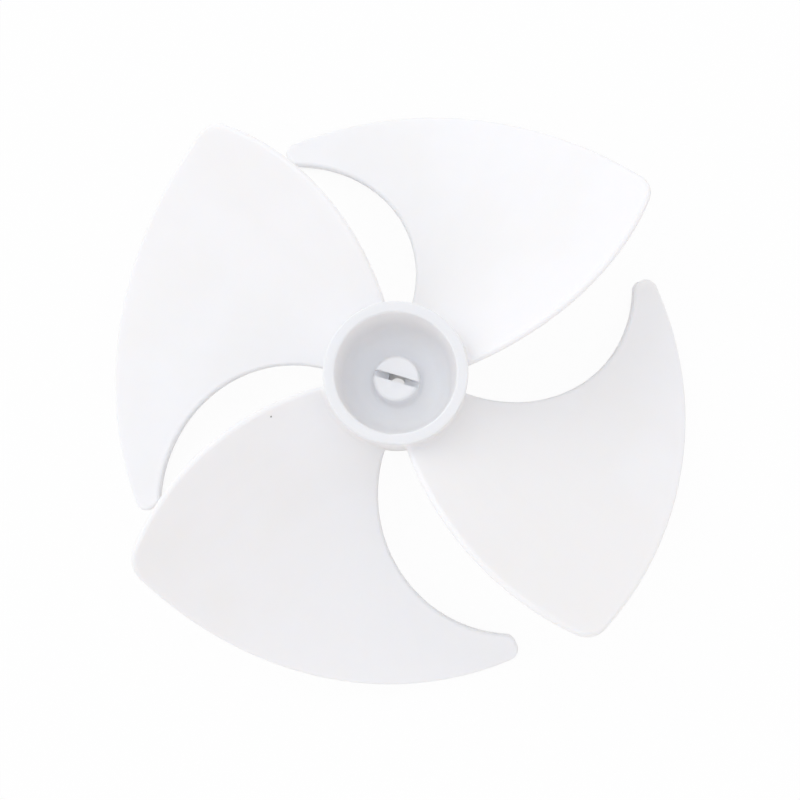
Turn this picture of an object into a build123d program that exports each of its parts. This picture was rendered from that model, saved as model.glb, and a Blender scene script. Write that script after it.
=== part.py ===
from build123d import *
import math
import os

# Overall size, in millimetres and degrees
fan_diameter = 110.0
blade_count = 4
first_blade_angle = 126.0  # where the first blade's trailing corner stands, from +X

# Hub cup, open at the top
hub_depth = 18.0
rim_diameter = 24.7
rim_wall = 2.0
cup_depth = 11.2
cup_draft = 3.8  # slope of the cup's inside, narrowing to its floor
skirt_draft = 1.1  # slope of the hub's outside, narrowing to the back
web_thickness = 2.0
back_wall = 1.8  # skirt wall round the pocket in the back
rim_round = 0.4
back_round = 0.6
cup_floor_round = 3.2
pocket_round = 0.8

# Split boss in the middle of the cup, bored for the shaft from the back
boss_end_diameter = 8.0
boss_foot_diameter = 8.5
boss_recess = 7.2  # from the rim down to the end of the boss
boss_end_round = 0.6
boss_foot_round = 0.8
shaft_diameter = 3.0
bore_cap = 1.0  # left over the bore's end
bore_lead_in = 0.4
slot_width = 1.2
slot_depth = 2.4
slot_angle = 163.5  # direction of the slot, from +X

# Blade outline, seen along the axis. Angles are from the trailing corner, the way the fan turns
trailing_root_angle = -29.1
leading_root_angle = 45.2
tip_angle = 79.2
tip_width = 4.4
trailing_bow = 5.2  # how far the trailing edge bulges from its chord
leading_bow = 10.8  # how far the leading edge is hollowed from its chord
corner_round = 5.0
tip_round = 2.1

# Blade heights, measured down from the rim
root_trailing_drop = 4.1
root_leading_drop = 11.85
tip_trailing_drop = 0.0
tip_leading_drop = 29.0
tip_camber = 8.25  # how far the outer edge hangs below its chord

# Blade wall
root_thickness = 2.0
tip_thickness = 1.6
edge_share = 0.4  # rounding of the free edges, as a share of the wall at the tip
root_round = 0.7

# Working values
fan_radius = fan_diameter / 2
hub_radius = rim_diameter / 2
seat_radius = hub_radius - rim_wall / 2  # the blades start inside the cup's wall
edge_round = edge_share * tip_thickness
floor_height = hub_depth - cup_depth
pocket_depth = floor_height - web_thickness
boss_height = hub_depth - boss_recess
section_points = 11  # points along each blade section
slab_margin = 1.0  # the blade's plate runs this far past its outline
slab_turn = 5.0  # and this far past its tip


def polar(radius, angle, height=0.0):
    """Point at a radius, an angle in degrees and a height."""
    turn = math.radians(angle)
    return Vector(radius * math.cos(turn), radius * math.sin(turn), height)


def parabola(angle, start, end, start_height, end_height, sag):
    """Height and slope, per radian, of a section that sags below its chord."""
    share = (angle - start) / (end - start)
    rise = end_height - start_height
    height = start_height + rise * share - 4 * sag * share * (1 - share)
    slope = (rise - 4 * sag * (1 - 2 * share)) / math.radians(end - start)
    return height, slope


def root_section(angle):
    """Height and slope of the blade where it leaves the hub."""
    start = hub_depth - root_trailing_drop
    end = hub_depth - root_leading_drop
    return parabola(angle, trailing_root_angle, leading_root_angle, start, end, 0.0)


def tip_section(angle):
    """Height and slope of the blade along its outer edge."""
    start = hub_depth - tip_trailing_drop
    end = hub_depth - tip_leading_drop
    return parabola(angle, 0.0, tip_angle, start, end, tip_camber)


def section_edge(radius, side):
    """One face of the blade at a radius: side is 1 for the front face and -1 for the back face."""
    out = (radius - hub_radius) / (fan_radius - hub_radius)
    thickness = root_thickness + (tip_thickness - root_thickness) * out
    sweep = tip_angle + slab_turn - trailing_root_angle
    points = []
    for step in range(section_points):
        angle = trailing_root_angle + sweep * step / (section_points - 1)
        root_height, root_slope = root_section(angle)
        tip_height, tip_slope = tip_section(angle)
        height = root_height + (tip_height - root_height) * out
        slope = root_slope + (tip_slope - root_slope) * out
        upright_thickness = thickness * math.hypot(1.0, slope / radius)
        points.append(polar(radius, angle, height + side * upright_thickness / 2))
    return Edge.make_spline(points)


def blade_slab():
    """Twisted, cambered plate that is straight along every radius."""
    inner = seat_radius - slab_margin
    outer = fan_radius + slab_margin
    front_in = section_edge(inner, 1)
    front_out = section_edge(outer, 1)
    back_in = section_edge(inner, -1)
    back_out = section_edge(outer, -1)
    pairs = [(front_in, front_out), (back_in, back_out), (front_in, back_in), (front_out, back_out)]
    faces = [Face.make_surface_from_curves(first, second) for first, second in pairs]
    for at in (0, 1):
        near = Edge.make_line(front_in @ at, back_in @ at)
        far = Edge.make_line(front_out @ at, back_out @ at)
        faces.append(Face.make_surface_from_curves(near, far))
    return Solid(Shell(faces))


def blade_outline():
    """Plan of one blade: bulging trailing edge, outer arc, narrow tip and hollow leading edge."""
    trailing_root = polar(seat_radius, trailing_root_angle)
    trailing_corner = polar(fan_radius, 0.0)
    outer_middle = polar(fan_radius, tip_angle / 2)
    tip_outer = polar(fan_radius, tip_angle)
    tip_inner = polar(fan_radius - tip_width, tip_angle)
    leading_root = polar(seat_radius, leading_root_angle)
    root_middle = polar(seat_radius, (trailing_root_angle + leading_root_angle) / 2)
    rounds = [(trailing_corner, corner_round), (tip_outer, tip_round), (tip_inner, tip_round)]
    with BuildSketch() as outline:
        with BuildLine():
            SagittaArc(trailing_root, trailing_corner, -trailing_bow)
            ThreePointArc(trailing_corner, outer_middle, tip_outer)
            Line(tip_outer, tip_inner)
            SagittaArc(tip_inner, leading_root, leading_bow)
            ThreePointArc(leading_root, root_middle, trailing_root)
        make_face()
        for corner, radius in rounds:
            fillet(outline.vertices().sort_by_distance(corner)[0], radius)
    return outline.sketch


def make_blade():
    """One blade with its free edges rounded."""
    reach = hub_depth + tip_leading_drop + tip_camber
    blade = extrude(blade_outline(), reach, both=True) & blade_slab()
    free_edges = []
    for edge in blade.edges():
        ends = [edge @ 0, edge @ 0.5, edge @ 1]
        furthest = max(math.hypot(point.X, point.Y) for point in ends)
        if edge.geom_type != GeomType.LINE and furthest > hub_radius + edge_round:
            free_edges.append(edge)
    return fillet(free_edges, edge_round)


def hub_profile():
    """Half section of the hub: cup above, pocket below and the boss through both."""
    rim_in = hub_radius - rim_wall
    back_out = hub_radius - hub_depth * math.tan(math.radians(skirt_draft))
    skirt_in = back_out - back_wall
    cup_floor = rim_in - cup_depth * math.tan(math.radians(cup_draft))
    boss_end = boss_end_diameter / 2
    boss_foot = boss_foot_diameter / 2
    corners = [
        (0, 0),
        (boss_end, 0),
        (boss_foot, pocket_depth),
        (skirt_in, pocket_depth),
        (skirt_in, 0),
        (back_out, 0),
        (hub_radius, hub_depth),
        (rim_in, hub_depth),
        (cup_floor, floor_height),
        (boss_foot, floor_height),
        (boss_end, boss_height),
        (0, boss_height),
    ]
    rounds = [
        (corners[1], boss_end_round),
        (corners[2], pocket_round),
        (corners[3], pocket_round),
        (corners[4], rim_round),
        (corners[5], back_round),
        (corners[6], rim_round),
        (corners[7], rim_round),
        (corners[8], cup_floor_round),
        (corners[9], boss_foot_round),
        (corners[10], boss_end_round),
    ]
    with BuildSketch(Plane.XZ) as profile:
        with BuildLine():
            Polyline(*corners, close=True)
        make_face()
        for corner, radius in rounds:
            fillet(profile.vertices().sort_by_distance(corner)[0], radius)
    return profile.sketch


def make_hub():
    """Hub turned about the axis."""
    return revolve(hub_profile(), Axis.Z)


def bore_and_slot():
    """What is taken out of the boss: the shaft bore with its lead-in, and the slot across its end."""
    bore_radius = shaft_diameter / 2
    bore = Cylinder(bore_radius, boss_height - bore_cap, align=(Align.CENTER, Align.CENTER, Align.MIN))
    lead_in = Cone(bore_radius + bore_lead_in, bore_radius, bore_lead_in,
                   align=(Align.CENTER, Align.CENTER, Align.MIN))
    slot = Box(boss_foot_diameter, slot_width, slot_depth + boss_recess,
               align=(Align.CENTER, Align.CENTER, Align.MIN))
    return bore + lead_in + Pos(0, 0, boss_height - slot_depth) * Rot(0, 0, slot_angle) * slot


def make_fan():
    """Hub, blades and bore as one moulding."""
    pitch = 360 / blade_count
    gap_middle = (leading_root_angle + trailing_root_angle + pitch) / 2
    fan = Rot(0, 0, first_blade_angle + gap_middle) * make_hub()
    blade = make_blade()
    for count in range(blade_count):
        fan += Rot(0, 0, first_blade_angle + count * pitch) * blade
    skirt = fan.faces().filter_by(GeomType.CONE).sort_by(SortBy.AREA)[-1]
    fan = fillet(skirt.edges().filter_by(GeomType.BSPLINE), root_round)
    return fan - bore_and_slot()


os.makedirs("parts", exist_ok=True)
export_step(make_fan(), "parts/fan_blade.step")
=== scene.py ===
import math

import bpy
from mathutils import Matrix, Vector


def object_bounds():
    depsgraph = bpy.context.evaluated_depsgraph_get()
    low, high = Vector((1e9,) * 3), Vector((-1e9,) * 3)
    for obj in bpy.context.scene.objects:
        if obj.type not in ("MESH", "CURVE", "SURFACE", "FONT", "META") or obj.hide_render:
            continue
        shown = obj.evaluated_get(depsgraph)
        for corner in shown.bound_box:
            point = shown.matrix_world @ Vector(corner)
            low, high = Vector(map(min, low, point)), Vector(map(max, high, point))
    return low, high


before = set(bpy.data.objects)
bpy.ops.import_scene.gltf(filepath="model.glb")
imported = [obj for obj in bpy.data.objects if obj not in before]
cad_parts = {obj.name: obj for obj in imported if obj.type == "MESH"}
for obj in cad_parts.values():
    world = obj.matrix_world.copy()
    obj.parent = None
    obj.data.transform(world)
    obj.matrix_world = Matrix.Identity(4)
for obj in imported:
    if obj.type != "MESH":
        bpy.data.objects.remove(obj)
cadLow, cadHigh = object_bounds()
mmPerMetre = 1000
print("frame loaded, box in mm:", [round(mmPerMetre * side, 2) for side in cadHigh - cadLow])


class Wire:  # one node output, with sums written as Python
    def __init__(self, tree, socket=None):
        self.tree = tree
        self.socket = socket

    # adds a node: settings first, then socket values or links
    def node(self, kind, settings=None, sockets=None, output=0):
        made = self.tree.nodes.new(kind)
        for name, value in (settings or {}).items():
            setattr(made, name, value)
        for name, value in (sockets or {}).items():
            if isinstance(value, Wire):
                self.tree.links.new(value.socket, made.inputs[name])
            else:
                made.inputs[name].default_value = value
        return Wire(self.tree, made.outputs[output] if made.outputs else None)

    def sum(self, operation, first, second):
        return self.node("ShaderNodeMath", {"operation": operation}, {0: first, 1: second})

    def __add__(self, other):
        return self.sum("ADD", self, other)

    def __radd__(self, other):
        return self.sum("ADD", other, self)

    def __sub__(self, other):
        return self.sum("SUBTRACT", self, other)

    def __rsub__(self, other):
        return self.sum("SUBTRACT", other, self)

    def __mul__(self, other):
        return self.sum("MULTIPLY", self, other)

    def __rmul__(self, other):
        return self.sum("MULTIPLY", other, self)

    # 0 below low, 1 above high, with a soft step between
    def step(self, low, high):
        return self.node("ShaderNodeMapRange", {"interpolation_type": "SMOOTHSTEP"},
                         {"Value": self, "From Min": low, "From Max": high})

    # mixes two colours: sockets 6 and 7 and output 2 are the colour ones of a Mix node
    def blend(self, mask, first, second, way="MIX"):
        return self.node("ShaderNodeMix", {"data_type": "RGBA", "blend_type": way},
                         {0: mask, 6: first, 7: second}, 2)


def emptyTree(owner):
    owner.use_nodes = True
    owner.node_tree.nodes.clear()
    return Wire(owner.node_tree)


# 1 for the camera and for what shows in gloss or glass, 0 for the light that falls on things
def seenDirectly(tree):
    rays = tree.node("ShaderNodeLightPath", output="Is Camera Ray")
    for kind in ("Is Glossy Ray", "Is Transmission Ray"):
        rays = tree.sum("MAXIMUM", rays, tree.node("ShaderNodeLightPath", output=kind))
    return rays


# moulded white plastic of the whole fan
plastic = {
    "name": "white_plastic",
    "coolWhite": (0.900, 0.902, 0.920, 1),
    "warmWhite": (0.885, 0.882, 0.885, 1),
    "cloudScale": 38.0,  # slow drift of the white, per metre
    "cloudDetail": 3.0,
    "cloudRoughness": 0.5,
    "cloudBand": (0.35, 0.65),
    "flowScale": 15.0,  # streaks of the melt, round the axis
    "flowDetail": 4.0,
    "flowRoughness": 0.6,
    "flowBand": (0.40, 0.72),
    "flowStretch": 4.0,  # change along each streak, per metre
    "flowTint": 0.12,
    "grainScale": 5200.0,  # fine texture of the mould, per metre
    "grainDetail": 2.0,
    "grainRoughness": 0.6,
    "grainDepth": 0.000012,
    "grainStrength": 0.35,
    "roughness": 0.42,
    "roughnessDrift": 0.08,
    "roughnessShares": (0.4, 0.3, 0.3),  # of the grain, the slow drift and the streaks
    "roughnessMiddle": 0.5,
    "refraction": 1.49,
    "glow": 0.45,  # share of the light that goes a little way through the plastic
    "glowReach": 0.0015,
    "glowTint": (1.0, 0.9, 0.8),  # how far each colour goes, as a share of that reach
    "rimPaintedShade": (0.800, 0.815, 0.840, 1),  # painted shade: the top of the rim is painted a little greyer than the blades, standing in for its darker shading
    "rimPaintedShadeShare": 0.8,  # how much of that painted shade
    "rimPaintedShadeHeights": (0.0174, 0.0179),  # where the painted shade begins and is full
    "rimPaintedShadeRadii": (0.0123, 0.0127),  # where it fades out past the rim
    "speckPlace": (-0.02088, -0.00754, 0.01825),  # dark grain moulded into one blade
    "speckRadius": 0.00017,
    "speckSoft": 0.3,  # share of its radius over which it fades
    "speckColour": (0.22, 0.21, 0.20, 1),
}


# noise with the look's own numbers for one kind: cloud, flow or grain
def noise(tree, place, look, kind):
    return tree.node("ShaderNodeTexNoise", {"noise_dimensions": "3D"}, {
        "Vector": place,
        "Scale": look[kind + "Scale"],
        "Detail": look[kind + "Detail"],
        "Roughness": look[kind + "Roughness"],
    })


def mouldedPlastic(look):
    material = bpy.data.materials.new(look["name"])
    tree = emptyTree(material)
    place = tree.node("ShaderNodeTexCoord", output="Object")
    drift = noise(tree, place, look, "cloud").step(*look["cloudBand"])

    # the melt fans out from the hub, so its streaks follow the direction from the axis
    flat = tree.node("ShaderNodeVectorMath", {"operation": "MULTIPLY"}, {0: place, 1: (1, 1, 0)})
    outward = tree.node("ShaderNodeVectorMath", {"operation": "NORMALIZE"}, {0: flat})
    radius = tree.node("ShaderNodeVectorMath", {"operation": "LENGTH"}, {0: flat}, "Value")
    along = tree.node("ShaderNodeCombineXYZ", None, {"Z": radius * look["flowStretch"]})
    course = tree.node("ShaderNodeVectorMath", {"operation": "ADD"}, {0: outward, 1: along})
    streak = noise(tree, course, look, "flow").step(*look["flowBand"])

    tone = drift * (1 - look["flowTint"]) + streak * look["flowTint"]
    white = tree.blend(tone, look["coolWhite"], look["warmWhite"])
    height = tree.node("ShaderNodeSeparateXYZ", None, {"Vector": place}, "Z")
    # painted shade: the rim's top is mixed towards a grey that stands in for its darker shading
    rimShadeMask = height.step(*look["rimPaintedShadeHeights"]) * (1 - radius.step(*look["rimPaintedShadeRadii"]))
    withRimShade = tree.blend(rimShadeMask * look["rimPaintedShadeShare"], white, look["rimPaintedShade"])
    away = tree.node("ShaderNodeVectorMath", {"operation": "DISTANCE"},
                     {0: place, 1: look["speckPlace"]}, "Value")
    fade = look["speckRadius"] * look["speckSoft"]
    speck = 1 - away.step(look["speckRadius"] - fade, look["speckRadius"] + fade)
    colour = tree.blend(speck, withRimShade, look["speckColour"])

    grain = noise(tree, place, look, "grain")
    ofGrain, ofDrift, ofStreak = look["roughnessShares"]
    mottle = grain * ofGrain + drift * ofDrift + streak * ofStreak
    roughness = look["roughness"] + look["roughnessDrift"] * (mottle - look["roughnessMiddle"])
    bump = tree.node("ShaderNodeBump", None,
                     {"Height": grain, "Strength": look["grainStrength"], "Distance": look["grainDepth"]})
    body = tree.node("ShaderNodeBsdfPrincipled", None, {
        "Base Color": colour,
        "Roughness": roughness,
        "Normal": bump,
        "IOR": look["refraction"],
        "Subsurface Weight": look["glow"],
        "Subsurface Scale": look["glowReach"],
        "Subsurface Radius": look["glowTint"],
    })
    tree.node("ShaderNodeOutputMaterial", None, {"Surface": body})
    return material


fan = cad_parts["fan_blade"]
fan.data.materials.clear()
fan.data.materials.append(mouldedPlastic(plastic))
print("fan dressed in", plastic["name"])

# pale floor that the blade tips stand on
floor = {
    "name": "floor",
    "half": 3.0,
    "colour": (0.86, 0.86, 0.86, 1),
    "white": (1.0, 1.0, 1.0, 1),
    "cameraWhite": 0.95,  # share of plain white that the camera sees, the rest keeps the shadow
    "shadowReach": 0.03,  # how near something has to be over the floor to shade it
    "shadowBand": (0.10, 0.36),  # share of open sky at full shade and at none
    "shadowSamples": 16,
    "hubShade": 0.5,  # deepest painted shadow, right under the hub
    "hubShadeRadii": (0.005, 0.0095),  # where that shade begins to fade and where it ends
}


def layFloor(look):
    mesh = bpy.data.meshes.new(look["name"])
    half = look["half"]
    corners = [(-half, -half, 0), (half, -half, 0), (half, half, 0), (-half, half, 0)]
    mesh.from_pydata(corners, [], [range(len(corners))])
    sheet = bpy.data.objects.new(look["name"], mesh)
    sheet.location.z = cadLow.z
    bpy.context.scene.collection.objects.link(sheet)
    material = bpy.data.materials.new(look["name"])
    tree = emptyTree(material)
    # painted shadow: the white the camera sees is darkened where the fan is near over the floor, and by
    # distance from the axis under the hub
    sky = tree.node("ShaderNodeAmbientOcclusion", {"samples": look["shadowSamples"]},
                    {"Distance": look["shadowReach"]}, "AO")
    clear = sky.step(*look["shadowBand"])
    place = tree.node("ShaderNodeTexCoord", output="Object")
    radius = tree.node("ShaderNodeVectorMath", {"operation": "LENGTH"}, {0: place}, "Value")
    pastHubShadow = radius.step(*look["hubShadeRadii"])
    lightness = pastHubShadow * look["hubShade"] + (1 - look["hubShade"])
    seen = seenDirectly(tree) * clear * lightness * look["cameraWhite"]
    matt = tree.node("ShaderNodeBsdfDiffuse", None, {"Color": look["colour"]})
    lit = tree.node("ShaderNodeEmission", None, {"Color": look["white"], "Strength": 1.0})
    top = tree.node("ShaderNodeMixShader", None, {0: seen, 1: matt, 2: lit})
    # from below the floor is clear, so that the back of the fan can be seen
    below = tree.node("ShaderNodeNewGeometry", output="Backfacing")
    clearSheet = tree.node("ShaderNodeBsdfTransparent")
    surface = tree.node("ShaderNodeMixShader", None, {0: below, 1: top, 2: clearSheet})
    tree.node("ShaderNodeOutputMaterial", None, {"Surface": surface})
    mesh.materials.append(material)


layFloor(floor)
print("floor laid at", round(mmPerMetre * cadLow.z, 2), "mm")

# soft room light: pale walls and what changes them, each with its turn from +X and its height in degrees
room = {
    "walls": (0.919, 0.869, 0.836, 1),
    "background": (1.0, 1.0, 1.0, 1),
    "lobes": [
        # cooler ceiling
        {"way": "MIX", "turn": 0.0, "height": 90.0, "focus": 6.0, "colour": (0.728, 0.829, 0.965, 1)},
        # a little more light from the left
        {"way": "ADD", "turn": 180.0, "height": 0.0, "focus": 1.5, "colour": (0.200, 0.216, 0.232, 1)},
        # wide window at the upper left
        {"way": "ADD", "turn": 135.0, "height": 52.0, "focus": 8.0, "colour": (0.785, 0.832, 0.855, 1)},
    ],
}


def lightRoom(look):
    world = bpy.data.worlds.new("softRoom")
    tree = emptyTree(world)
    direction = tree.node("ShaderNodeTexCoord", output="Generated")
    light = look["walls"]
    for lobe in look["lobes"]:
        turn, height = math.radians(lobe["turn"]), math.radians(lobe["height"])
        towards = (math.cos(turn) * math.cos(height), math.sin(turn) * math.cos(height), math.sin(height))
        facing = tree.node("ShaderNodeVectorMath", {"operation": "DOT_PRODUCT"},
                           {0: direction, 1: towards}, "Value")
        share = tree.sum("POWER", tree.sum("MAXIMUM", facing, 0.0), lobe["focus"])
        light = tree.blend(share, light, lobe["colour"], lobe["way"])
    soft = tree.node("ShaderNodeBackground", None, {"Color": light, "Strength": 1.0})
    plain = tree.node("ShaderNodeBackground", None, {"Color": look["background"], "Strength": 1.0})
    surface = tree.node("ShaderNodeMixShader", None, {0: seenDirectly(tree), 1: soft, 2: plain})
    tree.node("ShaderNodeOutputWorld", None, {"Surface": surface})
    bpy.context.scene.world = world


lightRoom(room)
print("room light set")

# camera above the open cup, tilted a little to the lower side
view = {
    "rimCentre": (0.0, 0.0, 0.018),
    "distance": 0.180,
    "right": 0.000776,  # the axis stands off the middle of the picture by this much
    "up": -0.00468,
    "tiltX": -7.05,
    "tiltY": -1.03,
    "lens": 48.03,
    "sensor": 36.0,
    "near": 0.01,
    "far": 20.0,
}


def setCamera(look):
    sinX, cosX = math.sin(math.radians(look["tiltX"])), math.cos(math.radians(look["tiltX"]))
    sinY, cosY = math.sin(math.radians(look["tiltY"])), math.cos(math.radians(look["tiltY"]))
    right = Vector((cosY, sinY * sinX, sinY * cosX))
    up = Vector((0.0, cosX, -sinX))
    back = Vector((-sinY, cosY * sinX, cosY * cosX))
    lens = bpy.data.cameras.new("camera")
    lens.lens = look["lens"]
    lens.sensor_width = look["sensor"]
    lens.clip_start = look["near"]
    lens.clip_end = look["far"]
    holder = bpy.data.objects.new("camera", lens)
    place = Vector(look["rimCentre"]) + right * look["right"] + up * look["up"] + back * look["distance"]
    turn = Matrix((right, up, back)).transposed().to_4x4()
    holder.matrix_world = Matrix.Translation(place) @ turn
    bpy.context.scene.collection.objects.link(holder)
    bpy.context.scene.camera = holder


setCamera(view)
bpy.context.scene.view_settings.view_transform = "Standard"
print("camera set")
